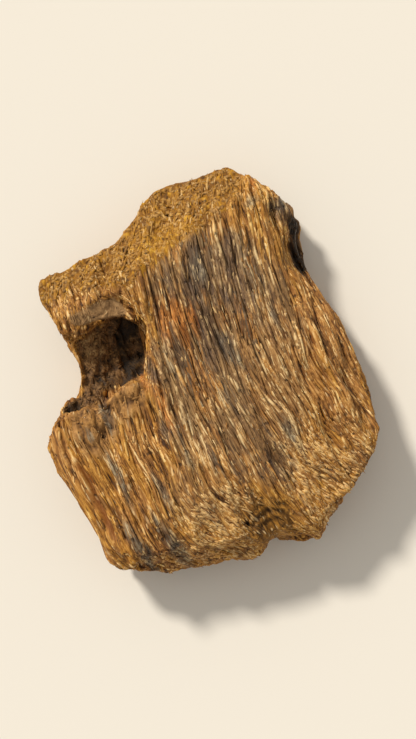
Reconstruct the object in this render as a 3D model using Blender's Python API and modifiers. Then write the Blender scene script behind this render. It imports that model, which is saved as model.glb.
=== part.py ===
"""One chip of agarwood, lying on its flat back.

The chip is a single piece of wood, so it is a single solid. Its outline is drawn from above and
thickened into a slab. The slab is then worked the way the real chip was: its ends and sides are
pared away in sloping facets, a rotted pocket opens on its left, a gouge has left a scoop at its
near edge, a resin hollow sits in its right shoulder, and gouges run along its back. The bundles
and ridges that follow the wood's fibres come next. Last, the crests of the back are sliced level,
so that the chip lies flat.

Metres, +Z up, +Y along the chip's length, origin on the floor under the middle of the chip.
"""

import math

import bmesh
import bpy
from mathutils import Matrix, Vector, noise

MM = 0.001

# Driving dimensions, in millimetres.
THICKNESS = 14.5
BACK_ALLOWANCE = 0.2  # wood that hangs below the floor until the back is sliced level
REMESH_SIZE = 0.42
WORN_FACTOR = 0.5  # how much, and how often, the arrises are worn
WORN_TIMES = 2
TRIANGLES = 9000

# The outline seen from above, anticlockwise from the tip of the left arm.
OUTLINE = (
    (-26.1, 13.4),
    (-25.4, 10.8),
    (-22.4, 6.4),
    (-21.1, 3.9),
    (-20.0, 1.6),
    (-19.5, -1.0),
    (-19.9, -3.3),
    (-21.4, -5.2),
    (-21.9, -7.2),
    (-23.9, -10.2),
    (-24.2, -12.4),
    (-22.5, -15.8),
    (-20.3, -18.8),
    (-17.6, -23.4),
    (-15.2, -28.8),
    (-13.2, -30.2),
    (-9.8, -30.6),
    (-6.0, -31.0),
    (-1.6, -29.9),
    (3.2, -28.8),
    (7.4, -27.4),
    (11.2, -25.2),
    (13.8, -25.3),
    (16.2, -25.4),
    (17.7, -22.6),
    (21.5, -18.0),
    (24.6, -13.6),
    (25.3, -9.6),
    (24.4, -4.2),
    (21.9, 3.5),
    (19.5, 7.8),
    (17.1, 11.0),
    (15.0, 13.9),
    (14.3, 18.4),
    (13.1, 22.8),
    (10.1, 26.2),
    (6.5, 28.6),
    (2.3, 31.2),
    (-4.4, 29.0),
    (-9.1, 26.6),
    (-10.3, 23.8),
    (-14.0, 20.0),
    (-21.0, 16.2),
)

# Facets pared off the top: a point on the cut, the compass bearing it faces in degrees
# anticlockwise from +X, and how far it tips below level.
TOP_FACETS = {
    "north_west_ledge": ((-6.8, 17.2, 13.9), 127.0, 34.0),
    "west_shoulder": ((-9.6, -1.0, 14.2), 196.0, 9.0),
    "west_edge": ((-20.6, -13.6, 12.2), 208.0, 52.0),
    "east_side": ((17.6, 1.6, 13.6), 25.0, 44.0),
    "east_slope": ((9.0, 4.0, 14.4), 18.0, 6.0),
    "south_east_end": ((14.0, -10.5, 13.9), -36.0, 15.0),
    "south_end": ((0.5, -20.0, 14.1), -76.0, 16.0),
    "south_lip": ((-3.0, -27.6, 11.6), -78.0, 58.0),
    "north_east_shoulder": ((9.0, 24.4, 13.6), 52.0, 40.0),
    "south_west_corner": ((-13.6, -26.6, 11.8), 232.0, 46.0),
}

# Facets pared off the back, given the same way. They face down and outwards.
BACK_FACETS = {
    "under_arm": ((-13.4, 15.0, 0.0), 131.0, 40.0),
    "under_west": ((-18.2, -8.0, 0.0), 196.0, 52.0),
    "under_east": ((18.6, 0.0, 0.0), 16.0, 44.0),
    "under_south": ((0.0, -24.6, 0.0), -80.0, 46.0),
    "under_north": ((7.0, 24.2, 0.0), 62.0, 48.0),
    "under_south_east": ((17.0, -14.0, 0.0), -34.0, 42.0),
}

# The rotted pocket, anticlockwise from its left end: where its wall stands, and how far that wall
# flares outwards above the throat. The flared north wall is a smooth sloping face.
POCKET_WALL = (
    ((-25.0, 4.6), 1.0),
    ((-24.0, -7.6), 0.6),
    ((-20.2, -6.9), 0.2),
    ((-16.8, -5.0), 0.4),
    ((-14.6, -3.6), 0.3),
    ((-12.4, -2.0), 0.3),
    ((-10.3, -0.7), 0.2),
    ((-9.4, 1.2), 0.2),
    ((-9.8, 3.4), 0.2),
    ((-10.3, 5.6), 0.4),
    ((-11.2, 7.4), 0.6),
    ((-12.8, 8.0), 1.4),
    ((-14.9, 7.7), 2.8),
    ((-17.3, 7.0), 2.7),
    ((-19.2, 5.4), 2.6),
    ((-21.2, 4.8), 1.8),
)
POCKET_MIDDLE = Vector((-15.0, 1.2))
# Height of each ring of the pocket, its size as a share of the throat's, and its share of the flare.
POCKET_RINGS = (
    (19.0, 1.0, 2.6),
    (14.0, 1.0, 1.0),
    (11.2, 1.0, 0.0),
    (9.2, 0.97, 0.0),
    (7.6, 0.86, 0.0),
    (6.6, 0.62, 0.0),
    (6.2, 0.3, 0.0),
)
POCKET_RISE = 0.3  # how steeply its floor climbs towards the open left side
POCKET_LUMP_SIZE = 2.6
POCKET_LUMP_HEIGHT = 0.55

# Bowls scooped out of the wood: centre, three half-axes, turn about +Z in degrees.
BOWLS = {
    "near_scoop": ((8.9, -27.2, 27.4), (10.8, 15.0, 16.4), 16.0),
    "west_terrace": ((-14.2, -11.6, 21.6), (7.6, 15.5, 8.9), 17.0),
    "shoulder_hollow": ((16.1, 18.8, 15.0), (4.6, 6.6, 10.6), 8.0),
    "east_flake": ((24.2, -1.0, 12.6), (4.2, 12.0, 3.4), 18.0),
    "back_gouge": ((2.0, 2.0, -9.8), (8.5, 29.0, 13.4), 24.0),
    "back_side_gouge": ((-12.8, -2.0, -5.6), (4.4, 15.0, 8.2), 20.0),
    "back_near_gouge": ((12.6, -14.6, -7.0), (5.4, 15.0, 9.2), 30.0),
}

# The fibres fan out from a far point, and bend a little towards the near end.
GRAIN_HUB = Vector((-42.0, 162.0))
GRAIN_BEND = 0.0022
BEND_START = 10.0

# The wood splits into long bundles of fibres: their width, length and depth, and how far one
# stands proud of the next.
BUNDLE_SIZE = Vector((3.8, 44.0, 3.2))
BUNDLE_STEP = 0.8
BUNDLE_SEED = 7.3
BLEND_WIDTH = 0.16  # share of a bundle over which one height passes into the next
GROOVE_WIDTH = 0.16  # of the groove between two bundles, as a share of a bundle
GROOVE_DEPTH = 0.42
GROOVE_LEVEL = 0.3  # how deep the groove is on average, as a share of its depth
SPLIT_FACE = 0.5  # share of the bundles' height that shows on the flat split face on top

# Ridges along the fibres: spacing across them, length along them, height.
RIDGES = (
    (7.0, 34.0, 0.45),
    (2.7, 21.0, 0.60),
)
RIDGE_SEED = 17.3
LUMP_SIZE = 8.0
LUMP_HEIGHT = 0.40
SWELL = 0.2  # makes up for the wood that the grooves take away

BLOCK_SIDE = 100.0  # of the block that takes away all that is under the floor
SHARP_ANGLE = math.radians(50.0)

WOOD_COLOUR = (0.285, 0.158, 0.062, 1.0)
WOOD_ROUGHNESS = 0.78


def clear_scene():
    for obj in list(bpy.data.objects):
        bpy.data.objects.remove(obj)


def new_collection(name):
    collection = bpy.data.collections.new(name)
    bpy.context.scene.collection.children.link(collection)
    return collection


def wood_material():
    material = bpy.data.materials.new("agarwood")
    material.use_nodes = True
    shader = material.node_tree.nodes["Principled BSDF"]
    shader.inputs["Base Color"].default_value = WOOD_COLOUR
    shader.inputs["Roughness"].default_value = WOOD_ROUGHNESS
    shader.inputs["Metallic"].default_value = 0.0
    return material


def prism(name, outline, bottom, top):
    """A closed mesh object with this outline, in millimetres, between two heights."""
    curve = bpy.data.curves.new(name + "_outline", "CURVE")
    curve.dimensions = "2D"
    curve.fill_mode = "BOTH"
    curve.extrude = (top - bottom) / 2
    spline = curve.splines.new("POLY")
    spline.points.add(len(outline) - 1)
    for place, (x, y) in zip(spline.points, outline):
        place.co = (x, y, 0.0, 1.0)
    spline.use_cyclic_u = True
    drawn = bpy.data.objects.new(name + "_outline", curve)
    bpy.context.scene.collection.objects.link(drawn)
    drawn.location.z = (top + bottom) / 2
    bpy.context.view_layer.update()
    seen = drawn.evaluated_get(bpy.context.evaluated_depsgraph_get())
    mesh = bpy.data.meshes.new_from_object(seen)
    mesh.transform(drawn.matrix_world)
    bpy.data.objects.remove(drawn)
    bm = bmesh.new()
    bm.from_mesh(mesh)
    bmesh.ops.remove_doubles(bm, verts=bm.verts, dist=0.001)
    bmesh.ops.recalc_face_normals(bm, faces=bm.faces)
    bm.to_mesh(mesh)
    bm.free()
    return bpy.data.objects.new(name, mesh)


def slice_off(bm, point, normal):
    """Takes away what lies beyond a plane and closes the cut."""
    whole = bm.verts[:] + bm.edges[:] + bm.faces[:]
    cut = bmesh.ops.bisect_plane(bm, geom=whole, plane_co=point, plane_no=normal, clear_outer=True)
    rim = [item for item in cut["geom_cut"] if isinstance(item, bmesh.types.BMEdge)]
    if rim:
        bmesh.ops.edgeloop_fill(bm, edges=rim)


def facet_normal(bearing, tip, upward):
    """The direction that a facet faces; upward is 1 on the top and -1 on the back."""
    turn = math.radians(bearing)
    lean = math.radians(tip)
    level = Vector((math.cos(turn), math.sin(turn), 0.0))
    return level * math.sin(lean) + Vector((0.0, 0.0, upward)) * math.cos(lean)


def pare_facets(slab):
    bm = bmesh.new()
    bm.from_mesh(slab.data)
    for point, bearing, tip in TOP_FACETS.values():
        slice_off(bm, Vector(point), facet_normal(bearing, tip, 1.0))
    for point, bearing, tip in BACK_FACETS.values():
        slice_off(bm, Vector(point), facet_normal(bearing, tip, -1.0))
    bmesh.ops.recalc_face_normals(bm, faces=bm.faces)
    bm.to_mesh(slab.data)
    bm.free()


def pocket_ring(height, size, flare_share):
    """One closed ring of the pocket's wall, roughened by small lumps."""
    ring = []
    for wall, flare in POCKET_WALL:
        outward = Vector(wall) - POCKET_MIDDLE
        reach = outward * size + outward.normalized() * flare * flare_share
        x, y = POCKET_MIDDLE + reach
        place = Vector((x, y, height + POCKET_RISE * (POCKET_MIDDLE.x - x)))
        lump = noise.noise_vector(place / POCKET_LUMP_SIZE)
        ring.append(place + POCKET_LUMP_HEIGHT * lump)
    return ring


def pocket_cutter():
    """A bowl lofted through the pocket's rings, wide at the top and closed at both ends."""
    mesh = bpy.data.meshes.new("pocket")
    bm = bmesh.new()
    rings = [
        [bm.verts.new(place) for place in pocket_ring(*ring)] for ring in reversed(POCKET_RINGS)
    ]
    for lower, upper in zip(rings, rings[1:]):
        for here in range(len(lower)):
            following = (here + 1) % len(lower)
            bm.faces.new((lower[here], lower[following], upper[following], upper[here]))
    bm.faces.new(reversed(rings[0]))
    bm.faces.new(rings[-1])
    bmesh.ops.triangulate(bm, faces=bm.faces[:])
    bmesh.ops.recalc_face_normals(bm, faces=bm.faces)
    bm.to_mesh(mesh)
    bm.free()
    return bpy.data.objects.new("pocket", mesh)


def bowl_cutter(name, centre, half_axes, turn):
    """An egg-shaped cutter that leaves a rounded hollow."""
    mesh = bpy.data.meshes.new(name)
    bm = bmesh.new()
    shape = (
        Matrix.Translation(centre)
        @ Matrix.Rotation(math.radians(turn), 4, "Z")
        @ Matrix.Diagonal((*half_axes, 1.0))
    )
    bmesh.ops.create_icosphere(bm, subdivisions=4, radius=1.0, matrix=shape)
    bm.to_mesh(mesh)
    bm.free()
    return bpy.data.objects.new(name, mesh)


def cut_with(body, cutter, cutters):
    cutters.objects.link(cutter)
    cutter.hide_render = True
    cutter.display_type = "WIRE"
    cut = body.modifiers.new("cut_" + cutter.name, "BOOLEAN")
    cut.operation = "DIFFERENCE"
    cut.solver = "EXACT"
    cut.object = cutter


def even_out(body):
    """Gives the worked slab an even mesh with its arrises slightly worn."""
    remesh = body.modifiers.new("even_mesh", "REMESH")
    remesh.mode = "VOXEL"
    remesh.voxel_size = REMESH_SIZE
    worn = body.modifiers.new("worn_arrises", "SMOOTH")
    worn.factor = WORN_FACTOR
    worn.iterations = WORN_TIMES


def fibre_place(point):
    """Where a point lies across the fibres, along them, and in depth."""
    x, y, z = point
    from_hub = Vector((x, y)) - GRAIN_HUB
    radius = GRAIN_HUB.length
    angle = math.atan2(from_hub.x, -from_hub.y) - math.atan2(-GRAIN_HUB.x, GRAIN_HUB.y)
    bend = GRAIN_BEND * (y - BEND_START) ** 2
    return Vector((angle * radius - bend, from_hub.length - radius, z))


def bundle_height(place):
    """How far a bundle of fibres stands out, less the groove along its edge."""
    cell = Vector((place[axis] / BUNDLE_SIZE[axis] for axis in range(3)))
    distances, centres = noise.voronoi(cell)
    own, neighbour = [noise.cell(centre * BUNDLE_SEED) - 0.5 for centre in centres[:2]]
    margin = distances[1] - distances[0]
    share = min(1.0, 0.5 + margin / (2 * BLEND_WIDTH))
    step = BUNDLE_STEP * (own * share + neighbour * (1 - share))
    groove = math.exp(-margin / GROOVE_WIDTH) - GROOVE_LEVEL
    return step - GROOVE_DEPTH * groove


def relief(point, normal):
    """Height of the bundles, ridges and lumps at a point on the surface."""
    place = fibre_place(point)
    across, along, depth = place
    height = SWELL + bundle_height(place) * (1 - (1 - SPLIT_FACE) * max(0.0, normal.z))
    for number, (spacing, length, tall) in enumerate(RIDGES):
        shift = RIDGE_SEED * number
        wave = noise.noise(Vector((across / spacing + shift, along / length, depth / spacing)))
        height += tall * (0.5 - 2.0 * abs(wave))
    return height + LUMP_HEIGHT * noise.noise(point / LUMP_SIZE)


def raise_ridges(mesh):
    """Moves each point out or in along its normal."""
    bm = bmesh.new()
    bm.from_mesh(mesh)
    bm.normal_update()
    moves = [corner.normal * relief(corner.co, corner.normal) for corner in bm.verts]
    for corner, move in zip(bm.verts, moves):
        corner.co += move
    bm.to_mesh(mesh)
    bm.free()


def below_floor():
    """A block that holds everything under the floor."""
    mesh = bpy.data.meshes.new("below_floor")
    bm = bmesh.new()
    place = Matrix.Translation((0.0, 0.0, -BLOCK_SIDE / 2))
    bmesh.ops.create_cube(bm, size=BLOCK_SIDE, matrix=place)
    bm.to_mesh(mesh)
    bm.free()
    return bpy.data.objects.new("below_floor", mesh)


def fewer_triangles(mesh, cutters):
    """The same form in about TRIANGLES triangles, sliced flat at the floor."""
    mesh.calc_loop_triangles()
    body = bpy.data.objects.new("ridged_chip", mesh)
    cutters.objects.link(body)
    coarse = body.modifiers.new("fewer_triangles", "DECIMATE")
    coarse.ratio = TRIANGLES / len(mesh.loop_triangles)
    coarse.use_collapse_triangulate = True
    cut_with(body, below_floor(), cutters)
    bpy.context.view_layer.update()
    seen = body.evaluated_get(bpy.context.evaluated_depsgraph_get())
    return bpy.data.meshes.new_from_object(seen)


def set_on_origin(mesh):
    """Puts the middle of the chip over the origin, in metres."""
    bm = bmesh.new()
    bm.from_mesh(mesh)
    bmesh.ops.triangulate(bm, faces=bm.faces[:])
    corners = [corner.co for corner in bm.verts]
    middle = [
        (min(place[axis] for place in corners) + max(place[axis] for place in corners)) / 2
        for axis in range(2)
    ]
    bmesh.ops.translate(bm, verts=bm.verts, vec=(-middle[0], -middle[1], 0.0))
    bmesh.ops.scale(bm, verts=bm.verts, vec=(MM, MM, MM))
    bm.to_mesh(mesh)
    bm.free()


def build_chip():
    chips = new_collection("agarwood_chip")
    cutters = new_collection("cutters")
    body = prism("worked_slab", OUTLINE, -BACK_ALLOWANCE, THICKNESS)
    cutters.objects.link(body)
    pare_facets(body)
    cut_with(body, pocket_cutter(), cutters)
    for name, (centre, half_axes, turn) in BOWLS.items():
        cut_with(body, bowl_cutter(name, centre, half_axes, turn), cutters)
    even_out(body)
    bpy.context.view_layer.update()
    seen = body.evaluated_get(bpy.context.evaluated_depsgraph_get())
    fine = bpy.data.meshes.new_from_object(seen)
    raise_ridges(fine)
    mesh = fewer_triangles(fine, cutters)
    set_on_origin(mesh)
    for helper in list(cutters.objects):
        bpy.data.objects.remove(helper)
    chip = bpy.data.objects.new("agarwood_piece", mesh)
    mesh.materials.clear()
    mesh.materials.append(wood_material())
    mesh.set_sharp_from_angle(angle=SHARP_ANGLE)
    chips.objects.link(chip)
    return chip


clear_scene()
build_chip()
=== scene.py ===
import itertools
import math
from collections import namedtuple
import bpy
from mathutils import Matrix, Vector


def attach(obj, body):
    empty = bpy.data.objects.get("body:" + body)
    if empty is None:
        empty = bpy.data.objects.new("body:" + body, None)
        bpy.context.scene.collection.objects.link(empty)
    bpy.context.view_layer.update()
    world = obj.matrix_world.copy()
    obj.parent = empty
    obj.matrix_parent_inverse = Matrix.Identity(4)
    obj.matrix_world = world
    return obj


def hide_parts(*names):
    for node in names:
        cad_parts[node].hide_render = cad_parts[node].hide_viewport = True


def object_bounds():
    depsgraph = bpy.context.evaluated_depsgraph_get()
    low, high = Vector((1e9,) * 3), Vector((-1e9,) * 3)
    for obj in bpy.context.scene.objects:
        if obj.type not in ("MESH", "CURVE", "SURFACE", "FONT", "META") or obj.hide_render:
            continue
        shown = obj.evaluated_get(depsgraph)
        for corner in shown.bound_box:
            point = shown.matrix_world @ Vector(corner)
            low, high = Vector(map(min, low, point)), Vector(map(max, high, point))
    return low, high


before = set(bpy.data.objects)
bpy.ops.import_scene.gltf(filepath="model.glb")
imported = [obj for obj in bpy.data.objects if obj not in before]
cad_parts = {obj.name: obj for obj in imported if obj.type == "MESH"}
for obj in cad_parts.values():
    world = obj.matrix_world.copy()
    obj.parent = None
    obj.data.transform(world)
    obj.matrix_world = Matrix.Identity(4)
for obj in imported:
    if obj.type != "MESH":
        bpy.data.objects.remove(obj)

# A chip of agarwood. Its body has the relief and the colours of split, pared and rotted wood, loose
# fibres and flecks lie on it, and the whole lies in a plain studio. Some of the colour is painted
# light: painted shade in grooves, creases, cracks, pits and dark hollows, painted highlights on
# raised strands, ridges and flecks, and a few patches painted lighter. Lengths are in millimetres,
# except where a mesh, the floor or the camera is set.

from types import SimpleNamespace

import bmesh
import bpy
import numpy as np
from mathutils import Matrix, Vector
from mathutils.bvhtree import BVHTree

CAD_BOX = [list(corner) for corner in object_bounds()]

NODE = "agarwood_piece"
MM = 0.001
FAR = 1e9

# The grain runs round a far hub, so that it fans and bends as it goes down the chip.
GRAIN_HUB = np.array([-41.66, 162.06])
GRAIN_RADIUS = math.hypot(*GRAIN_HUB)
GRAIN_START = math.atan2(-GRAIN_HUB[0], GRAIN_HUB[1])
GRAIN_BEND = 0.005
BEND_START = 12.0
BEND_STEPS = 12
COURSE_STEP = 0.3
WANDER_WAY = np.array([1, 0, 0.4])

# The body's mesh: cells longer along the grain than across it.
CELL = 0.222
ALONG_SQUEEZE = 0.4
WELD = 1e-6

# Rows of shares for smoothing. The first one evens the cells' steps and pushes back what it shrank.
STEP_SMOOTHING = (0.5, -0.52) * 5
BROAD_SMOOTHING = (0.5,) * 40
TORN_SMOOTHING = (0.5,) * 90
NORMAL_SMOOTHING = (0.5,) * 8
TORN_STAND = 0.2

# Where the photograph's camera stands and what it looks at, and how the picture plane through
# that place is numbered: its own place there, and what is at nought.
EYE = np.array([14.0, -27.35, 237.0])
AIM = np.array([0.4, -0.15, 8.0])
AIM_DRAWN = np.array([0.12, -0.72])
DRAWN_AT = AIM[:2] - AIM_DRAWN
BACK = (EYE - AIM) / np.linalg.norm(EYE - AIM)
RIGHT = np.cross((0, 1, 0), BACK) / np.linalg.norm(np.cross((0, 1, 0), BACK))
UP = np.cross(BACK, RIGHT)

# Outlines read in the photograph, on its picture plane. So are all the lines and places below.
LEDGE = [
    (-28.2, 11.2), (-24.4, 9.2), (-20.4, 10.9), (-14.7, 11.7), (-11.3, 11.9), (-9.7, 14.7), (-7.1, 15.7),
    (-4.9, 17.6), (-2.1, 19.7), (0.1, 21.6), (4.2, 24.8), (5.6, 27.9), (3.3, 34), (-12, 30), (-17, 22),
    (-22, 17), (-30, 14),
]
TAN_FACET = [
    (-20.9, 7.2), (-17.3, 9.1), (-14.2, 10.2), (-13.2, 9.4), (-12.1, 8.0), (-12.7, 7.3), (-16.7, 6.7),
    (-18.4, 6.0), (-20.6, 5.9),
]
FACET_CORNER = [(-14.2, 10.2), (-12.4, 11.0), (-10.4, 9.6), (-9.6, 7.4), (-10.5, 6.6), (-12.6, 7.0)]
FACET_FOOT = [
    (-20.9, 7.2), (-20.6, 3.8), (-18.5, 4.6), (-16.8, 6.0), (-15.4, 6.8), (-16.7, 6.9), (-18.4, 6.2),
    (-20.6, 6.1),
]
ARM_STRIP = [
    (-24.6, 9.2), (-20.4, 10.9), (-14.7, 11.7), (-14.0, 10.3), (-17.4, 9.0), (-20.4, 7.2), (-18.7, 4.5),
    (-20.1, 4.0), (-22.8, 6.3),
]
POCKET = [
    (-20.3, 3.4), (-18.3, 4.4), (-16.7, 5.9), (-14.7, 7.1), (-12.6, 7.6), (-10.6, 6.4), (-9.8, 3.4),
    (-9.4, 0.7), (-9.8, -1.3), (-12.6, -3.1), (-15.1, -4.5), (-16.6, -5.9), (-18.4, -7.2), (-20.0, -8.4),
    (-22.0, -8.2), (-21.4, -6.2), (-20.2, -5.0), (-18.8, -3.3), (-19.3, -1.1), (-19.9, 1.9),
]
# Where the pocket is painted near-black as dark resin; its crevice, the pits and the dark hollow get the
# same near-black as painted shade.
BLACK = [(-14.7, 7.6), (-10.6, 6.4), (-9.4, 0.7), (-9.8, -1.4), (-12.4, -3.0), (-13.1, 0), (-13.5, 3.6)]
PLATEAU = [
    (-3.9, 19.0), (-0.5, 20.2), (4.5, 20.6), (8.0, 19.6), (9.2, 15.5), (11.5, 11.8), (14.5, 6.3),
    (16.4, -0.9), (15.0, -7.2), (13.7, -15.3), (9.6, -18.2), (2.4, -17.0), (-4.4, -14.4), (-6.7, -7.6),
    (-7.4, -1.8), (-8.1, 4.9), (-8.9, 10.8), (-7.5, 15.3),
]
EAST = [
    (14.1, 14.4), (16.8, 14.4), (21.3, 9.0), (24.0, -1.8), (23.6, -7.2), (21.3, -5.9), (18.6, 0),
    (15.9, 5.8), (13.7, 12.1),
]
SW_PATCH = [
    (-21.4, -7.7), (-18.7, -6.3), (-16.0, -5.4), (-12.4, -3.0), (-9.7, -1.6), (-8.8, -4.5), (-9.7, -6.8),
    (-13.3, -9.0), (-14.0, -11.7), (-14.7, -14.4), (-18.3, -14.0), (-21.0, -10.8),
]
# The dark hollow at the right shoulder: dented in, and painted near-black and dark resin, which is dark
# resin and painted shade of the gap beside the chip.
HOLLOW = [(11.9, 22.6), (13.9, 22.4), (16.5, 21.1), (16.5, 15.5), (14.6, 13.2), (13.1, 15.6), (12.6, 20.0)]

# The pale facet on the pocket's far side: its top edge, how high it stands there, how fast it
# falls, the lowest that it cuts, and the lowest place that still belongs to the top of the wood.
FACET_TOP = [(-20.8, 7.3), (-14.2, 10.3), (-11.2, 9.2), (-9.8, 7.2)]
FACET_HEIGHT = 13.1
FACET_FALL = 0.45
FACET_CUT = -0.6
FACET_FLOOR = 7.0

# Edges of the pocket: the thin one along its open side, its inner wall and its near wall.
RIM = [(-23.4, 7.2), (-22.1, 4.5), (-20.7, 2.7), (-19.5, 0.0), (-19.2, -1.8), (-19.7, -3.9)]
INNER_RIM = [(-10.6, 6.4), (-9.7, 3.4), (-9.4, 0.7), (-9.9, -1.4)]
SOUTH_RIM = [(-9.8, -1.3), (-12.6, -3.1), (-15.1, -4.5), (-16.6, -5.7), (-18.6, -6.3)]
RIM_RISE = 0.7
INNER_SHIFT = 1.15
SOUTH_SHIFT = -1.1
WALL_REACH = 1.7

# Stretches of the outline moved east: centre, reach, how far.
NUDGES = [
    ((5.0, 29.5), (8, 7), 1.2),
    ((10.5, 25.5), (5, 4), 0.8),
    ((-19.5, -18.5), (6, 9), -0.7),
    ((20.5, -17.0), (5, 4), 0.5),
    ((13.0, 22.6), (3.5, 4.0), 0.6),
]

# Creases: their course, width and depth.
WEST_CREASE = [(-20.9, -10.4), (-18.6, -16.6), (-16.8, -20.2), (-15.0, -24.2), (-12.9, -27.8)]
EAST_CREASE = [(12.4, 12.5), (13.5, 8.6), (15.7, 3.2), (17.1, 0.3), (19.0, -3.0)]
MIDDLE_CREASE = [(-8.6, 0.5), (-7.2, -3.5), (-6.4, -8.0), (-6.2, -11.5)]
CREASES = [(WEST_CREASE, 0.9, 0.8), (EAST_CREASE, 0.8, 0.7), (MIDDLE_CREASE, 0.6, 0.35)]
PATCH_SPLIT = [(-15.8, -5.0), (-15.3, -8.0), (-15.5, -10.4)]
POCKET_SPLIT = [(-13.5, 4.0), (-13.0, 1.2), (-12.1, -1.2)]
LIP = [(-22.5, -10.8), (-20.2, -16.6), (-18.2, -20.2), (-15.7, -24.8), (-13.7, -28.5)]
EAST_RIDGE = [(14.4, 9.0), (15.8, 5.4), (17.2, 2.5), (18.2, 0.0)]

# Round places: centre and reach. The reach is one length, or two, east and north. CORE is the share
# of the reach within which a place is whole.
CORE = 0.35
SCOOP = ((9.6, -23.5), (6.0, 6.5))
SMOOTH_SPOT = ((20.2, -10.8), (2.4, 2.6))
TIP = ((7.5, 25.0), (5.5, 4.6))
# The shoulder is painted dark resin, partly as painted shade where it slopes down.
SHOULDER = ((11.7, 23.4), (2.7, 3.0))
SOUTH_FLECKS = ((2.0, -24.3), (9.5, 8))
EAST_FLECKS = ((19.1, -16.2), (9, 11))
LIT_LUMP = ((-11.3, 2.6), (1.5, 2.1))
DARK_TAIL = ((-20.4, -6.6), (2.4, 1.6))
DARK_FOOT = ((-14.9, -2.7), (3.6, 2.0))
EAST_LIFT = ((13, -3), (8, 15))
SOUTH_LIFT = ((-1, -21), (11, 8))
# The arm's west end, left darker than the rest of the arm, as painted shade in the corner.
ARM_END = ((-23.2, 10.2), 3.0)
SOUTH_BROWN = ((-0.5, -19.5), (9, 7))
# Places painted lighter, as painted light: on the ledge, at its corner by the plateau, and on the pocket's
# left side, which would otherwise lie in shade by the rim.
LEDGE_GLOW = ((-5.0, 17.8), (9, 6.5))
CORNER_GLOW = ((-8.4, 13.6), (2.4, 3.2))
POCKET_GLOW = ((-17.6, 3.0), (2.2, 4.5))
# Small round holes, cut in and painted near-black, as painted shade in the pits.
HOLES = [
    ((6.2, -24.2), 0.5),
    ((-18.0, -7.0), 0.35),
    ((-15.6, -11.1), 0.3),
    ((-10.5, 12.5), 0.3),
    ((-6.0, 22.5), 0.35),
]

# Where the grain swings: centre, reach, degrees anticlockwise.
SWINGS = [
    (SOUTH_FLECKS[0], (13, 12), 8),
    (EAST_FLECKS[0], (9.5, 12), 8),
    ((-18.0, -20.0), (9, 13), 4),
    ((-10.5, -7.0), (6, 10), -6),
    ((17.5, 6.0), (7, 12), -6),
]

# Spots: how far east and north, half width across the grain, half length along it. SPOT_EDGE is how
# soft they are.
SPOT_EDGE = 0.35
EMBER_SPOTS = [
    (-4.2, 6.4, 1.1, 3.8), (-6.3, 6.0, 1.0, 3.6), (-2.1, 7.0, 0.7, 2.6), (-6.9, -6.0, 0.7, 3.5),
    (10.9, 18.6, 0.45, 2.6), (-9.3, -3.0, 0.5, 4.0), (6.9, 27.2, 0.7, 1.2),
]
SLATE_SPOTS = [
    (3.1, 2.7, 1.5, 2.2), (10.3, 7.4, 0.4, 1.6), (-5.1, -27.0, 1.2, 4.4), (-10.0, -27.8, 0.9, 4.0),
    (-12.0, -20.5, 0.5, 3.6), (-6.6, -19.5, 0.6, 3.4), (-13.8, -16.2, 0.7, 2.4), (6.9, 24.6, 1.1, 0.8),
    (12.6, -10.2, 0.9, 2.5), (10.7, 24.1, 1.3, 1.1), (-1.2, 14.4, 1.3, 2.4), (-15.3, -7.4, 0.8, 3.4),
    (-17.9, -10.6, 0.4, 1.1), (4.8, 1.2, 0.5, 2.6),
]
RESIN_SPOTS = [
    (-1.4, 15.0, 2.0, 4.4), (3.8, 15.7, 2.0, 4.0), (-6.8, -9.5, 0.5, 2.6), (10.6, -15.4, 0.6, 3.0),
    (-2.5, 10.0, 1.3, 4.0), (-4.5, 2.5, 1.2, 3.6), (0.2, 5.0, 1.6, 5.8), (5.6, 11.8, 1.2, 3.4),
    (3.2, 10.0, 1.4, 3.8), (0.6, 1.6, 1.3, 3.4), (-5.8, 12.1, 0.8, 2.4), (0.8, 11.2, 0.8, 2.2),
    (-8.2, -1.4, 0.6, 3.0), (10.4, 3.8, 0.6, 2.4), (11.3, 17.4, 0.6, 3.6),
]
BRIGHT_SPOTS = [
    (7.4, -3.6, 1.3, 3.8), (12.5, -12.5, 0.9, 3.6), (14.5, -6.5, 1.6, 4.6), (17.2, 3.6, 0.9, 2.8),
    (1.4, 20.6, 1.4, 1.3), (-0.6, -9.2, 0.7, 3.0), (6.9, -15.8, 0.8, 2.6), (-10.8, -11.0, 1.3, 3.4),
    (11.4, 7.4, 0.7, 2.4), (2.8, -26.0, 0.8, 1.6), (-12.0, 10.6, 0.8, 1.3), (20.8, -6.8, 1.6, 3.2),
    (11.9, 0.4, 1.6, 5.0), (9.7, -7.9, 1.0, 2.6), (22.8, -11.0, 1.2, 2.4), (18.6, -13.0, 1.0, 1.8),
    (-15.6, -13.2, 0.8, 3.0), (-8.6, -17.6, 1.0, 2.6), (6.2, -11.8, 0.8, 3.6), (4.2, -19.4, 0.9, 2.0),
    (-1.2, -28.6, 2.6, 1.6), (9.3, -1.6, 1.4, 3.0), (6.0, 2.2, 0.9, 2.4), (-5.0, -6.6, 1.0, 2.8),
    (-9.8, -7.0, 0.8, 2.4), (-1.2, -13.0, 1.2, 2.6), (3.2, -25.0, 0.9, 1.6), (22.9, -11.4, 1.4, 2.4),
    (6.8, -14.9, 1.0, 2.4), (12.6, -4.6, 1.0, 2.8), (0.2, -6.6, 0.7, 2.4), (-5.3, -7.2, 0.9, 2.4),
    (16.6, -1.2, 0.7, 2.4),
]
OLIVE_SPOTS = [(11.2, 17.8, 1.3, 4.6), (-8.4, -5.6, 0.6, 2.6)]

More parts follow.
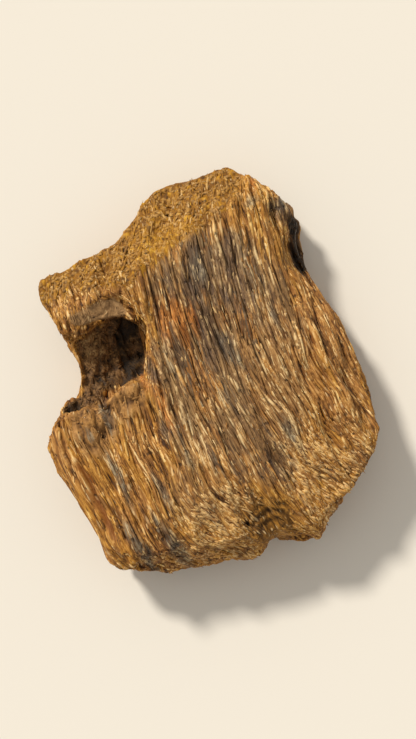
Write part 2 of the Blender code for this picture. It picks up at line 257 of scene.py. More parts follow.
# Layers of noise: how far each one goes, the size of its bumps, which is one length or three
# (across the grain, along it and in height), and its salt.
WANDER = [(0.8, (7, 20, 7), 11), (0.36, (2.4, 6, 2.4), 12), (0.2, (1.1, 3.2, 1.1), 13)]
RAGGED = [(0.5, (0.8, 3, 0.8), 21)]
STREAKY = [(1.7, (1.1, 9, 1.1), 22)]
FRAYED = [(0.9, (0.7, 5, 0.7), 23), (0.5, (2.2, 9, 2.2), 24)]
SPOT_ENDS = [(0.35, (0.9, 7, 0.9), 71), (0.2, (0.4, 3, 0.4), 72)]
FLECKS_UNEVEN = [(0.35, 2.5, 25)]
SPLIT_BEND = [(1.0, 1.1, 26)]
CRUMBS = [(0.3, 1.0, 42), (0.15, 0.5, 73), (0.075, 0.25, 104)]
HOLLOW_CRUMBS = [(0.45, 1.6, 44), (0.225, 0.8, 75), (0.1125, 0.4, 106)]
SCOOP_UNEVEN = [(0.16, 1.4, 43)]
ARC_BEND = [(0.6, 2.2, 45)]
CREASE_BEND = [(0.3, 1.5, 46)]
LEDGE_UNEVEN = [(0.12, 0.8, 47), (0.2, 2.6, 48)]
FACET_UNEVEN = [(0.12, 1.4, 51)]
FACET_FRAY = [(0.15, 0.7, 52)]
RIM_UNEVEN = [(0.25, 1.2, 53)]
LIP_BEND = [(0.9, 5, 54)]

# Scattered lumps: their size, given as for noise, their salt, how far one stands from the next, its
# crown and the groove round it, each with the distances where it ends and where it is whole, and the
# mean height, which is taken off. JITTER is how far one may lie from an even grid.
Lumps = namedtuple("Lumps", "size salt step crown crown_ends groove groove_ends mean")
BUNDLES = Lumps((1.8, 15, 1.8), 101, 0.22, 0.2, (0.6, 0.05), 0.24, (0.17, 0), 0.07)
THREADS = Lumps((0.95, 7, 0.95), 102, 0.3, 0.18, (0.6, 0.1), 0.22, (0.2, 0), 0.06)
HAIRS = Lumps((0.6, 4.5, 0.6), 103, 0.12, 0, (1, 0), 0.06, (0.2, 0), 0)
ROT = Lumps((2.1, 2.1, 2.1), 107, 0.3, 0.7, (0.8, 0.05), 0.25, (0.14, 0.02), 0.3)
JITTER = 0.9

# The ledge's knobs and the patch's lumps, by size and salt, and the heights of what else is carved.
KNOB = ((1.0, 1.2, 1.0), 104)
PATCH_LUMP = ((2.3, 2.9, 2.3), 106)
KNOB_CROWN = 0.2
PORE_DEPTH = 0.2
PATCH_CROWN = 0.5
PATCH_GROOVE = 0.2
PATCH_MEAN = 0.15
PATCH_SPLIT_DEPTH = 0.4
POCKET_SPLIT_DEPTH = 0.6
HOLLOW_DEPTH = 0.5

# Long thin lines along the grain, which stand out or are cut in, and the area that they lie in.
# Those that stand out are also painted lighter, as painted highlight; those cut in are painted
# darker, as painted shade.
LIGHT_STRANDS = {"count": 420, "seed": 5, "wide": (0.3, 0.6), "long": (2.5, 9)}
GAPS = {"count": 340, "seed": 7, "wide": (0.24, 0.44), "long": (4, 12)}
STRAND_AREA = ((-34, 30), (-36, 36))
STRAND_LEAN = 0.06
STRAND_TAPER = 0.6
STRAND_RISE = 0.14
GAP_DEPTH = 0.34

# Other relief: ridges along the west edge, arcs in the scoop, the ridge on the east, and holes.
LIP_SPACING = 1.25
LIP_RISE = 0.34
ARC_MIDDLE = (10.1, -25.1)
ARC_SPACING = 1.3
ARC_RISE = 0.22
EAST_RIDGE_RISE = 0.4
HOLE_DEPTH = 0.8

# How much of the plain split wood's relief each other kind of surface takes away, and what is left.
CALM_LOSS = {
    "ledge": 0.75, "torn_end": 0.7, "tan": 0.95, "pocket": 0.9, "patch": 0.7, "scoop": 0.8, "smooth": 0.5,
    "lip": 0.75,
}
LEAST_CALM = 0.05

# Loose fibres: sides of a ring, where the rings sit along half the length, their girth, how far a
# tip reaches on, and how far from the wood its surface is looked for.
SIDES = 4
RING_PLACES = np.array([-0.82, -0.42, 0.0, 0.42, 0.82])
RING_GIRTHS = np.array([0.5, 0.88, 1.0, 0.88, 0.5])
TIP_REACH = 0.45
PROBE = 2.0
CURVES = np.vander(RING_PLACES, 3)
EVEN_OUT = CURVES @ np.linalg.pinv(CURVES)  # turns the heights of a fibre's rings into an even curve
EVEN_SHARE = 0.65
UNEVEN_LIMIT = 0.35
HEIGHT_LIMIT = 1.4
OWN_SPREAD = 0.16
PATTERN_SHIFT = 0.7

# Colours as a screen shows them, from dark to light, each with its place on the ramp.
SPLIT_WOOD = {
    "gold": (
        (0.05, (68, 39, 12)), (0.3, (122, 78, 24)), (0.52, (164, 111, 40)), (0.75, (198, 146, 64)),
        (0.95, (234, 196, 124)),
    ),
    "umber": (
        (0.05, (64, 44, 24)), (0.3, (98, 71, 44)), (0.52, (124, 92, 57)), (0.75, (158, 124, 80)),
        (0.95, (212, 184, 136)),
    ),
    "rust": (
        (0.1, (62, 35, 14)), (0.36, (120, 77, 34)), (0.58, (160, 110, 54)), (0.78, (200, 150, 84)),
        (0.95, (234, 202, 144)),
    ),
    "resin": (
        (0.05, (50, 34, 22)), (0.35, (80, 58, 40)), (0.58, (100, 75, 52)), (0.8, (140, 110, 75)),
        (0.97, (194, 166, 120)),
    ),
    "ember": ((0.1, (70, 36, 10)), (0.42, (148, 90, 34)), (0.68, (198, 126, 56)), (0.92, (226, 176, 108))),
    "slate": ((0.1, (36, 30, 24)), (0.45, (80, 70, 59)), (0.7, (118, 106, 88)), (0.92, (174, 158, 128))),
    "olive": ((0.1, (58, 35, 6)), (0.45, (126, 85, 26)), (0.7, (164, 115, 42)), (0.92, (198, 152, 76))),
}
SMOOTH_WOOD = {
    "crumbs": (
        (0.1, (62, 36, 4)), (0.34, (116, 74, 8)), (0.54, (155, 106, 14)), (0.76, (190, 141, 32)),
        (0.95, (230, 194, 100)),
    ),
    "bark": ((0.1, (78, 52, 26)), (0.34, (138, 98, 52)), (0.56, (172, 126, 70)), (0.8, (204, 158, 98))),
    "tan": ((0.1, (100, 73, 44)), (0.5, (160, 124, 82)), (0.9, (196, 162, 116))),
}
ROTTEN_WOOD = {
    # Near-black: dark resin in the pocket, and painted shade in its crevice, in the pits and in the dark
    # hollow.
    "char": ((0.1, (14, 8, 2)), (0.5, (44, 28, 8)), (0.9, (88, 62, 25))),
    "rot": ((0.1, (42, 28, 15)), (0.4, (93, 65, 36)), (0.65, (128, 93, 54)), (0.92, (164, 130, 84))),
}
# Painted shade in the grooves between the scoop's arcs.
ARC_COLOUR = (50, 31, 12)
# Pale colour on loose fibres and flecks: partly their own pale fibre, partly painted highlight.
PALE_COLOUR = (230, 194, 134)
# Painted shade in the creases, such as the lip's shadow along the west crease.
CREASE_COLOUR = (142, 84, 30)
# Painted shade in the cracks between the patch's lumps and along its split.
CRACK_COLOUR = (78, 50, 24)
PORE_COLOUR = (44, 28, 14)
TIP_COLOUR = (238, 206, 152)

# The gloss of the wood, and its finest relief in metres.
ROUGHNESS = 0.68
RESIN_GLOSS = 0.28
SPECULAR = 0.3
BUMP_STRENGTH = 0.8
BUMP_HEIGHT = 0.00022

# The studio: pale paper, a warm sky, and one soft light from the upper left.
FLOOR_HALF = 1.5
PAPER = (226, 222, 214)
PAPER_ROUGHNESS = 0.9
SKY_COLOUR = (1.0, 0.95, 0.87, 1)
SKY_STRENGTH = 0.54
KEY_COLOUR = (1.0, 0.93, 0.82)
KEY_STRENGTH = 3.2
KEY_WIDTH = math.radians(9)
KEY_FROM = (-0.5, 0.55, 0.66)
FOCAL_LENGTH = 74.3
SENSOR_WIDTH = 36
NEAREST_SEEN = 0.005

# What scatter mixes a cell's numbers with.
CELL_FACTORS = (73856093, 19349663, 83492791)
SALT_FACTOR = 2654435761
MIXING = ((16, 0x7FEB352D), (15, 0x846CA68B))
ALL_BITS = 0xFFFFFFFF


def scatter(cell, salt):
    """One steady number from 0 to 1 for each whole-number cell."""
    whole = cell.astype(np.int64).astype(np.uint32)
    mixed = np.uint32(salt * SALT_FACTOR & ALL_BITS)
    for axis, factor in enumerate(CELL_FACTORS):
        mixed = mixed ^ (whole[..., axis] * np.uint32(factor))
    for shift, factor in MIXING:
        mixed ^= mixed >> np.uint32(shift)
        mixed *= np.uint32(factor)
    mixed ^= mixed >> np.uint32(16)
    return mixed / (ALL_BITS + 1.0)


def noise(points, salt):
    """Smooth noise from -1 to 1, with bumps about one unit across. The salt picks the pattern."""
    base = np.floor(points)
    part = points - base
    part = part * part * part * (part * (part * 6 - 15) + 10)
    total = np.zeros(points.shape[:-1])
    for corner in itertools.product((0, 1), repeat=3):
        step = np.array(corner)
        share = np.prod(np.where(step == 1, part, 1 - part), axis=-1)
        total += share * scatter(base + step, salt)
    return total * 2 - 1


def waves(places, layers):
    """Layers of noise, added up."""
    total = np.zeros(len(places))
    for reach, size, salt in layers:
        total += reach * noise(places / np.array(size), salt)
    return total


def cells(places, size, salt):
    """Distance to the nearest and the second nearest scattered seed, and the nearest one's own number."""
    places = places / np.array(size)
    base = np.floor(places)
    near = np.full(len(places), FAR)
    second = near.copy()
    owner = np.zeros(len(places))
    for step in itertools.product((-1, 0, 1), repeat=3):
        cell = base + np.array(step)
        seed = np.stack([scatter(cell, salt + k) for k in (1, 2, 3)], axis=-1)
        seed = cell + 0.5 + JITTER * (seed - 0.5)
        distance = np.linalg.norm(places - seed, axis=-1)
        closer = distance < near
        second = np.where(closer, near, np.minimum(second, distance))
        owner = np.where(closer, scatter(cell, salt + 4), owner)
        near = np.where(closer, distance, near)
    return near, second, owner


def lumps(places, kind):
    """Relief of scattered lumps with grooves between them, and each lump's own number."""
    near, following, own = cells(places, kind.size, kind.salt)
    relief = kind.step * (own - 0.5) + kind.crown * ease(*kind.crown_ends, near)
    relief -= kind.groove * ease(*kind.groove_ends, following - near) + kind.mean
    return relief, own


def ease(low, high, value):
    """0 below low, 1 above high, smooth between. It falls where high is under low."""
    share = np.clip((value - low) / (high - low), 0, 1)
    return share * share * (3 - 2 * share)


def unit(vectors):
    """The same directions, one long."""
    return vectors / np.linalg.norm(vectors, axis=-1, keepdims=True)


def to_grain(points):
    """Places as across the grain, along it, and height."""
    from_hub = points[:, :2] - GRAIN_HUB
    angle = np.arctan2(from_hub[:, 0], -from_hub[:, 1]) - GRAIN_START
    bend = GRAIN_BEND * (points[:, 1] - BEND_START) ** 2
    along = np.linalg.norm(from_hub, axis=1) - GRAIN_RADIUS
    return np.stack([angle * GRAIN_RADIUS - bend, along, points[:, 2]], axis=1)


def from_grain(grain):
    """The way back from to_grain, found by steps because the bend depends on the answer."""
    y = -grain[:, 1]
    for _ in range(BEND_STEPS):
        bend = GRAIN_BEND * (y - BEND_START) ** 2
        angle = (grain[:, 0] + bend) / GRAIN_RADIUS + GRAIN_START
        y = GRAIN_HUB[1] - (grain[:, 1] + GRAIN_RADIUS) * np.cos(angle)
    x = GRAIN_HUB[0] + (grain[:, 1] + GRAIN_RADIUS) * np.sin(angle)
    return np.stack([x, y, grain[:, 2]], axis=1)


def put(name, data):
    """A new object in the scene."""
    placed = bpy.data.objects.new(name, data)
    bpy.context.scene.collection.objects.link(placed)
    return placed


def vertex_values(mesh, name):
    flat = np.empty(len(mesh.vertices) * 3, np.float32)
    mesh.vertices.foreach_get(name, flat)
    return flat.reshape(-1, 3).astype(float)


def points_of(mesh):
    return vertex_values(mesh, "co")


def normals_of(mesh):
    return vertex_values(mesh, "normal")


def set_points(mesh, points):
    mesh.vertices.foreach_set("co", points.astype(np.float32).ravel())
    mesh.update()


def smoothed(mesh, values, shares):
    """Each vertex's values drawn towards its neighbours' mean, once for each share.
    A share below zero pushes them back."""
    ends = np.empty(len(mesh.edges) * 2, np.int32)
    mesh.edges.foreach_get("vertices", ends)
    a, b = ends.reshape(-1, 2).T
    count = np.bincount(ends, minlength=len(mesh.vertices))
    values = values.copy()
    for share in shares:
        sums = [
            np.bincount(a, column[b], len(count)) + np.bincount(b, column[a], len(count))
            for column in values.T
        ]
        values += share * (np.stack(sums, axis=1) / count[:, None] - values)
    return values


def fine_copy(node):
    """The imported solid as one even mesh, in millimetres, its cells drawn out along the grain.
    Grain places are a mirror image of real ones, so the faces are turned round on the way back."""
    mesh = bpy.data.meshes.new("agarwood_body")
    shape = bmesh.new()
    shape.from_mesh(node.data)
    bmesh.ops.remove_doubles(shape, verts=shape.verts, dist=WELD)
    shape.to_mesh(mesh)
    shape.free()
    grain = to_grain(points_of(mesh) / MM)
    grain[:, 1] *= ALONG_SQUEEZE
    set_points(mesh, grain)
    body = put("agarwood_body", mesh)
    remesh = body.modifiers.new("even", "REMESH")
    remesh.mode = "VOXEL"
    remesh.voxel_size = CELL
    remesh.adaptivity = 0
    graph = bpy.context.evaluated_depsgraph_get()
    even = bpy.data.meshes.new_from_object(body.evaluated_get(graph))
    body.modifiers.clear()
    body.data = even
    bpy.data.meshes.remove(mesh)
    grain = points_of(even)
    grain[:, 1] /= ALONG_SQUEEZE
    set_points(even, from_grain(grain))
    even.flip_normals()
    set_points(even, smoothed(even, points_of(even), STEP_SMOOTHING))
    return body


def seen(points):
    """Where points show on the photograph's picture plane."""
    from_eye = points - EYE
    share = np.linalg.norm(EYE - AIM) / -(from_eye @ BACK)
    return np.stack([from_eye @ RIGHT * share, from_eye @ UP * share], axis=1) + AIM_DRAWN


def side_distance(places, a, b):
    """Distance to the straight side from a to b, and how far along it each place is, from 0 to 1."""
    side = b - a
    from_a = places - a
    share = np.clip(from_a @ side / (side @ side), 0, 1)
    return np.linalg.norm(from_a - share[:, None] * side, axis=1), share


def outline_depth(places, outline):
    """How far each place is inside a closed outline. Outside it is negative."""
    corners = np.array(outline, float)
    nearest = np.full(len(places), FAR)
    inside = np.zeros(len(places), bool)
    for a, b in zip(corners, np.roll(corners, -1, axis=0)):
        nearest = np.minimum(nearest, side_distance(places, a, b)[0])
        above_a = places[:, 1] > a[1]
        above_b = places[:, 1] > b[1]
        rise = b[1] - a[1] or FAR
        crossing = a[0] + (places[:, 1] - a[1]) / rise * (b[0] - a[0])
        inside ^= (above_a != above_b) & (places[:, 0] < crossing)
    return np.where(inside, nearest, -nearest)


def line_distance(places, line):
    """Distance to an open line, and how far along it each place is, from 0 to 1."""
    nearest = np.full(len(places), FAR)
    progress = np.zeros(len(places))
    for step, (a, b) in enumerate(itertools.pairwise(np.array(line, float))):
        distance, share = side_distance(places, a, b)
        progress = np.where(distance < nearest, (step + share) / (len(line) - 1), progress)
        nearest = np.minimum(nearest, distance)
    return nearest, progress


def near_to(where, centre, reach):
    """1 round a centre, falling to 0 at its reach."""
    east, north = reach if isinstance(reach, tuple) else (reach, reach)
    return ease(1, CORE, np.hypot((where[:, 0] - centre[0]) / east, (where[:, 1] - centre[1]) / north))


def spots(where, grain, entries):
    """A share from 0 to 1: 1 in the middle of each spot, with ragged ends along the grain."""
    ragged = waves(grain, SPOT_ENDS)
    places = to_grain(np.column_stack([where, np.zeros(len(where))]))
    share = np.zeros(len(where))
    for east, north, wide, long in entries:
        middle = to_grain(np.array([[east, north, 0.0]]))[0]
        across = (places[:, 0] - middle[0]) / wide
        along = (places[:, 1] - middle[1]) / long
        distance = np.hypot(across, along) + ragged
        share = np.maximum(share, ease(1 + SPOT_EDGE, 1 - SPOT_EDGE, distance))
    return share


def turned(offsets, angles):
    """Level offsets turned anticlockwise by angles in radians."""
    x, y = offsets[..., 0], offsets[..., 1]
    east = np.cos(angles) * x - np.sin(angles) * y
    north = np.sin(angles) * x + np.cos(angles) * y
    return np.stack([east, north], axis=-1)


def grain_at(points):
    """Places as across the grain, along it and height, with the swings and a slight wander."""
    where = seen(points)
    swung = points.copy()
    for centre, reach, degrees in SWINGS:
        angle = math.radians(degrees) * near_to(where, centre, reach)
        middle = np.array(centre) + DRAWN_AT
        swung[:, :2] = middle + turned(swung[:, :2] - middle, -angle)
    grain = to_grain(swung)
    return grain + waves(grain, WANDER)[:, None] * WANDER_WAY


def course(points):
    """The way the grain runs at each place, level and one long."""
    rise = []
    for step in ((COURSE_STEP, 0, 0), (0, COURSE_STEP, 0)):
        rise.append(grain_at(points + step)[:, 0] - grain_at(points - np.array(step))[:, 0])
    return unit(np.stack([rise[1], -rise[0]], axis=1))


def strands(grain, count, seed, wide, long):
    """Share from 0 to 1 of long thin lines along the grain, thinner towards both ends."""
    random = np.random.default_rng(seed)
    share = np.zeros(len(grain))
    for _ in range(count):
        middle_across = random.uniform(*STRAND_AREA[0])
        middle_along = random.uniform(*STRAND_AREA[1])
        half = random.uniform(*long) / 2
        width = random.uniform(*wide) / 2
        lean = random.uniform(-STRAND_LEAN, STRAND_LEAN)
        band = np.abs(grain[:, 1] - middle_along) < half
        part = grain[band]
        from_middle = part[:, 1] - middle_along
        along = from_middle / half
        across = part[:, 0] - middle_across - lean * from_middle
        across /= width * (1 - STRAND_TAPER * along**2)
        near = np.exp(-(across**2)) * (1 - along**4)
        share[band] = np.maximum(share[band], near)
    return share


def by_wall(points, where, wall):
    """1 on the upper part of one of the pocket's walls, falling away beside it and below it."""
    from_wall = line_distance(where, wall)[0]
    return np.exp(-((from_wall / WALL_REACH) ** 2)) * ease(4, 8, points[:, 2])


def nudge(mesh):
    """Moves two of the pocket's walls and a few stretches of the outline to their places."""
    points = points_of(mesh)
    where = seen(points)
    points[:, 0] += INNER_SHIFT * by_wall(points, where, INNER_RIM)
    for centre, reach, east in NUDGES:
        points[:, 0] += east * near_to(where, centre, reach)
    points[:, 1] += SOUTH_SHIFT * by_wall(points, where, SOUTH_RIM)
    set_points(mesh, points)


def soften_torn_end(mesh):
    """Evens the lumps along the ledge's outer side, and stands it out again by what that took."""
    points = points_of(mesh)
    share = ease(-1.0, 0.5, outline_depth(seen(points), LEDGE)) * ease(1.5, 3.5, points[:, 2])
    share *= ease(0.85, 0.5, normals_of(mesh)[:, 2])
    even = smoothed(mesh, points, TORN_SMOOTHING)
    points += share[:, None] * (even - points)
    set_points(mesh, points)
    set_points(mesh, points + TORN_STAND * share[:, None] * normals_of(mesh))


def along_sight(points, heights):
    """The places slid along the camera's line of sight to new heights, so that they show where they did."""
    share = (EYE[2] - heights) / (EYE[2] - points[:, 2])
    moved = EYE[:2] + (points[:, :2] - EYE[:2]) * share[:, None]
    return np.column_stack([moved, heights])


def shape_facet(mesh):
    """Makes a flat sloping face on the pocket's far side."""
    points = points_of(mesh)
    where = seen(points)
    outlines = (TAN_FACET, FACET_CORNER, FACET_FOOT)
    depth = np.maximum.reduce([outline_depth(where, outline) for outline in outlines])
    level = FACET_HEIGHT - FACET_FALL * line_distance(where, FACET_TOP)[0] + waves(points, FACET_UNEVEN)
    inside = ease(-0.25, 0.1, depth + waves(points, FACET_FRAY))
    outer = (points[:, 2] > FACET_FLOOR) | (normals_of(mesh)[:, 2] > 0.1)
    height = points[:, 2] + inside * outer * np.maximum(level - points[:, 2], FACET_CUT)
    set_points(mesh, along_sight(points, height))


def raise_rim(mesh):
    """Stands up a thin edge along the pocket's open side."""
    points = points_of(mesh)
    distance, progress = line_distance(seen(points), RIM)
    edge = ease(1.1, 0.3, distance) * ease(0, 0.1, progress) * ease(1, 0.9, progress)
    edge *= ease(-0.2, 0.4, normals_of(mesh)[:, 2]) * ease(10.5, 9.0, points[:, 2])
    points[:, 2] += edge * (RIM_RISE + waves(points, RIM_UNEVEN))
    set_points(mesh, points)


def pocket_zones(zone, points, where, ragged):
    """The pocket, the pale facet beside it, its near-black parts, which are dark resin and painted shade,
    and its thin edge.
    """
    level = ease(2.8, 4.6, points[:, 2]) * ease(11.5, 10.0, points[:, 2])
    zone.pocket = ease(-0.1, 0.4, outline_depth(where, POCKET) + 0.3 * ragged) * level
    in_facet = outline_depth(where, TAN_FACET)
    zone.tan = ease(-0.15, 0.15, in_facet) * ease(6, 8, points[:, 2])
    zone.by_facet = ease(-1.3, -0.5, in_facet)
    zone.black = ease(-0.6, 0.6, outline_depth(where, BLACK) + ragged) * zone.pocket
    zone.black *= 1 - 0.7 * near_to(where, *LIT_LUMP)
    # The crevice down the pocket's floor is painted near-black, as painted shade, and two patches by its
    # lower edge are painted darker.
    from_split = line_distance(where, POCKET_SPLIT)[0]
    split = ease(0.8, 0.0, from_split + 0.7 * waves(points, SPLIT_BEND))
    tail = np.maximum(near_to(where, *DARK_TAIL), 0.7 * near_to(where, *DARK_FOOT))
    zone.black = np.maximum(zone.black, np.maximum(split, 0.8 * tail) * zone.pocket)
    zone.rim = ease(1.2, 0.5, line_distance(where, RIM)[0] + 0.3 * ragged) * ease(3, 6, points[:, 2])


def worn_zones(zone, points, where):
    """The round places that are scooped, rubbed smooth or covered with flecks."""
    zone.scoop = near_to(where, *SCOOP) * zone.up
    zone.smooth = near_to(where, *SMOOTH_SPOT) * zone.up
    zone.tip = near_to(where, *TIP) * zone.up * (1 - zone.ledge)
    uneven = 1 + waves(points, FLECKS_UNEVEN)
    flecked = uneven * np.maximum(near_to(where, *SOUTH_FLECKS), near_to(where, *EAST_FLECKS))
    zone.flecked = np.clip(flecked - 0.5 * zone.smooth, 0, 1) * zone.up


def zones_of(points, normals, where, grain):
    """How much each place belongs to each kind of surface, from 0 to 1."""
    zone = SimpleNamespace()
    ragged = waves(grain, RAGGED)
    in_ledge = outline_depth(where, LEDGE) + waves(grain, FRAYED)
    zone.up = ease(-0.1, 0.5, normals[:, 2])
    zone.ledge = ease(-0.5, 0.5, in_ledge) * zone.up
    zone.torn_end = ease(-1.5, 0.0, in_ledge)
    pocket_zones(zone, points, where, ragged)
    worn_zones(zone, points, where)
    zone.arm = ease(-0.3, 0.3, outline_depth(where, ARM_STRIP) + ragged) * zone.up * (1 - zone.tan)
    zone.plateau = ease(-1.0, 1.2, outline_depth(where, PLATEAU) + waves(grain, STREAKY)) * zone.up
    zone.east = ease(-0.5, 0.5, outline_depth(where, EAST) + ragged) * zone.up
    zone.patch = ease(-0.4, 0.5, outline_depth(where, SW_PATCH) + ragged) * zone.up * (1 - zone.pocket)
    zone.lip = ease(1.9, 1.0, line_distance(where, LIP)[0] + 0.3 * ragged) * ease(-0.5, 0.1, normals[:, 2])
    zone.hollow = ease(-0.3, 0.5, outline_depth(where, HOLLOW) + 0.5 * ragged) * ease(2, 6, points[:, 2])
    calm = np.ones(len(points))
    for kind, share in CALM_LOSS.items():
        calm -= share * getattr(zone, kind)
    zone.calm = np.clip(calm, LEAST_CALM, 1)
    return zone


def fibre_relief(zone, grain):
    """Bundles, fibres, single strands and gaps."""
    bundle, bundle_own = lumps(grain, BUNDLES)
    thread, thread_own = lumps(grain, THREADS)
    hair = lumps(grain, HAIRS)[0]
    hairy = np.clip(0.35 + 0.65 * zone.calm - 0.4 * zone.patch, 0, 1)
    relief = zone.calm * (1 - 0.55 * zone.flecked) * (bundle + thread) + hairy * hair
    # Raised strands, which are also painted lighter, as painted highlight.
    light = strands(grain, **LIGHT_STRANDS)
    # Gaps, which are also painted darker, as painted shade.
    gap = strands(grain, **GAPS)
    relief += zone.calm * (STRAND_RISE * light - GAP_DEPTH * gap)
    own = 0.35 * (bundle_own - 0.5) + 0.6 * (thread_own - 0.5)
    return relief, light, gap, own


def ledge_relief(zone, points, grain):
    """Small knobs and pores on the pared ledge."""
    near, _, own = cells(grain, *KNOB)
    knobs = ease(0.62, 0.15, near) * (own > 0.35)
    pores = ease(0.4, 0.1, near) * (own < 0.25)
    face = KNOB_CROWN * knobs - PORE_DEPTH * pores + waves(points, LEDGE_UNEVEN)
    return zone.ledge * face, zone.ledge * (knobs - 1.2 * pores)


def patch_relief(zone, points, where):
    """Smooth lumps parted by cracks, under the pocket. The cracks are also painted darker, as painted
    shade.
    """
    near, following, _ = cells(points, *PATCH_LUMP)
    crack = ease(0.16, 0.02, following - near)
    split = ease(0.8, 0.2, line_distance(where, PATCH_SPLIT)[0])
    relief = PATCH_CROWN * ease(0.75, 0.1, near) - PATCH_GROOVE * crack - PATCH_MEAN
    relief -= PATCH_SPLIT_DEPTH * split
    return zone.patch * relief, zone.patch * np.maximum(crack, 0.6 * split)


def lip_relief(zone, points, where):
    """Long smooth ridges side by side along the west edge. Their crests are also painted lighter, as
    painted highlight.
    """
    from_crease = line_distance(where, WEST_CREASE)[0]
    ridge = 0.5 - 0.5 * np.cos(2 * math.pi * from_crease / LIP_SPACING + waves(points, LIP_BEND))
    return LIP_RISE * zone.lip * ridge, zone.lip * ridge


def rot_relief(zone, points, where):
    """Lumps and crumbs in the pocket and the hollow, and the split down the pocket's floor."""
    lump = lumps(points, ROT)[0] + waves(points, CRUMBS)
    from_split = line_distance(where, POCKET_SPLIT)[0] + 0.4 * waves(points, SPLIT_BEND)
    lump -= POCKET_SPLIT_DEPTH * ease(0.7, 0.1, from_split)
    return zone.pocket * lump + zone.hollow * (waves(points, HOLLOW_CRUMBS) - HOLLOW_DEPTH)


def scoop_relief(zone, points, where):
    """Nested arcs of fibre in the scoop. The grooves between them are also painted darker, as painted
    shade.
    """
    offset = where - ARC_MIDDLE
    from_middle = np.hypot(offset[:, 0], offset[:, 1])
    ring = np.cos(2 * math.pi * (from_middle + waves(points, ARC_BEND)) / ARC_SPACING)
    arcs = zone.scoop * ease(1.0, 2.0, from_middle) * ease(5.5, 3.8, from_middle)
    arcs *= ease(-1.5, 0.5, offset[:, 1] - 0.5 * offset[:, 0])
    relief = ARC_RISE * arcs * ring + zone.scoop * waves(points, SCOOP_UNEVEN)
    return relief, arcs * (0.5 - 0.5 * ring)


def cut_relief(zone, points, where):
    """Creases, the ridge on the east, and small round holes. The creases are also painted darker and the
    holes near-black, as painted shade.
    """
    relief = np.zeros(len(points))
    crease = np.zeros(len(points))
    strayed = where + waves(points, CREASE_BEND)[:, None]
    for line, width, depth in CREASES:
        distance, progress = line_distance(strayed, line)
        cut = ease(width, 0.1 * width, distance) * ease(0, 0.12, progress) * ease(1, 0.8, progress)
        cut *= zone.up
        relief -= depth * cut
        crease = np.maximum(crease, cut)
    ridge = ease(1.2, 0.2, line_distance(strayed, EAST_RIDGE)[0]) * zone.up
    relief += EAST_RIDGE_RISE * ridge
    hole = np.zeros(len(points))
    for centre, reach in HOLES:
        hole = np.maximum(hole, near_to(where, centre, reach) * zone.up)
    return relief - HOLE_DEPTH * hole, crease, hole


def relief_of(zone, points, normals, where, grain):
    """How far each place moves out, and the shares of what is carved there.
    It moves less near the floor and on steep sides."""
    carved = SimpleNamespace()
    relief, carved.light, carved.gap, carved.own = fibre_relief(zone, grain)
    ledge, carved.knobs = ledge_relief(zone, points, grain)
    patch, carved.crack = patch_relief(zone, points, where)
    lip, carved.lip = lip_relief(zone, points, where)
    scoop, carved.arcs = scoop_relief(zone, points, where)
    cuts, carved.crease, carved.hole = cut_relief(zone, points, where)
    relief += ledge + patch + lip + scoop + cuts + rot_relief(zone, points, where)
    relief *= ease(0.0, 0.6, points[:, 2]) * 0.75 + 0.25
    relief *= 0.3 + 0.7 * ease(0.15, 0.6, np.abs(normals[:, 2]))
    return relief, carved


def marks_of(zone, carved, tone, normals, where, grain):
    """The shares from which the material takes its colours, by the names that it reads. Several are painted
    light and shade: the relief tone, shade in gaps, creases, cracks, arcs, pits and the hollow, highlights
    on strands and ridges, and patches painted lighter.
    """
    lift = 0.6 * near_to(where, *EAST_LIFT) + 0.25 * near_to(where, *SOUTH_LIFT)
    # The arm is painted lighter, except at its west end, which stays darker as painted shade in the corner.
    lift += 0.6 * zone.arm * (1 - near_to(where, *ARM_END)) + spots(where, grain, BRIGHT_SPOTS)
    # Painted light: patches made lighter on the ledge, at its corner and on the pocket's left side.
    glow = near_to(where, *LEDGE_GLOW) * zone.ledge + near_to(where, *CORNER_GLOW)
    glow += near_to(where, *POCKET_GLOW) * zone.pocket
    even = zone.patch + zone.ledge + 0.6 * zone.lip + zone.pocket + 0.7 * zone.scoop
    return {
        "tone": tone,
        "own": carved.own * zone.calm,
        # Painted highlight on raised strands and on the crests of the lip's ridges.
        "light": np.maximum(zone.calm * carved.light, 0.35 * carved.lip),
        # Painted shade in the gaps, in the pits and in the dark hollow.
        "gap": np.clip(carved.gap * zone.calm + carved.hole + zone.hollow, 0, 1),
        # Painted shade in the creases.
        "crease": carved.crease,
        # Painted shade in the patch's cracks.
        "crack": carved.crack,
        # Painted shade in the grooves between the scoop's arcs.
        "arcs": carved.arcs,
        "dots": carved.knobs,
        "lift": np.clip(lift, 0, 1) * zone.up,
        "glow": np.clip(glow, 0, 1),
        "even": np.clip(even, 0, 1),
        "pale": np.zeros(len(where)),
        "ledge": zone.ledge,
        "tip": zone.tip,
        "plateau": np.maximum(zone.plateau, 0.6 * near_to(where, *SOUTH_BROWN) * zone.up),
        "east": zone.east,
        "patch": zone.patch,
        "tan": zone.tan,
        "pocket": zone.pocket,
        # Near-black: dark resin in the pocket, painted shade in its crevice, the pits and the dark hollow.
        "black": np.clip(zone.black + ease(0.35, 1.0, zone.hollow) + carved.hole, 0, 1),
        "rim": zone.rim,
        # Dark resin on the shoulder and in the hollow, partly painted shade.
        "shoulder": np.maximum(near_to(where, *SHOULDER) * (1 - zone.ledge), zone.hollow),
        "fleck_zone": zone.flecked,
        "olive": np.maximum(zone.scoop, 0.85 * spots(where, grain, OLIVE_SPOTS) * zone.up),
        "ember": spots(where, grain, EMBER_SPOTS) * zone.up,
        "slate": spots(where, grain, SLATE_SPOTS) * ease(-0.7, -0.1, normals[:, 2]),
        "resin": spots(where, grain, RESIN_SPOTS) * zone.up,
    }


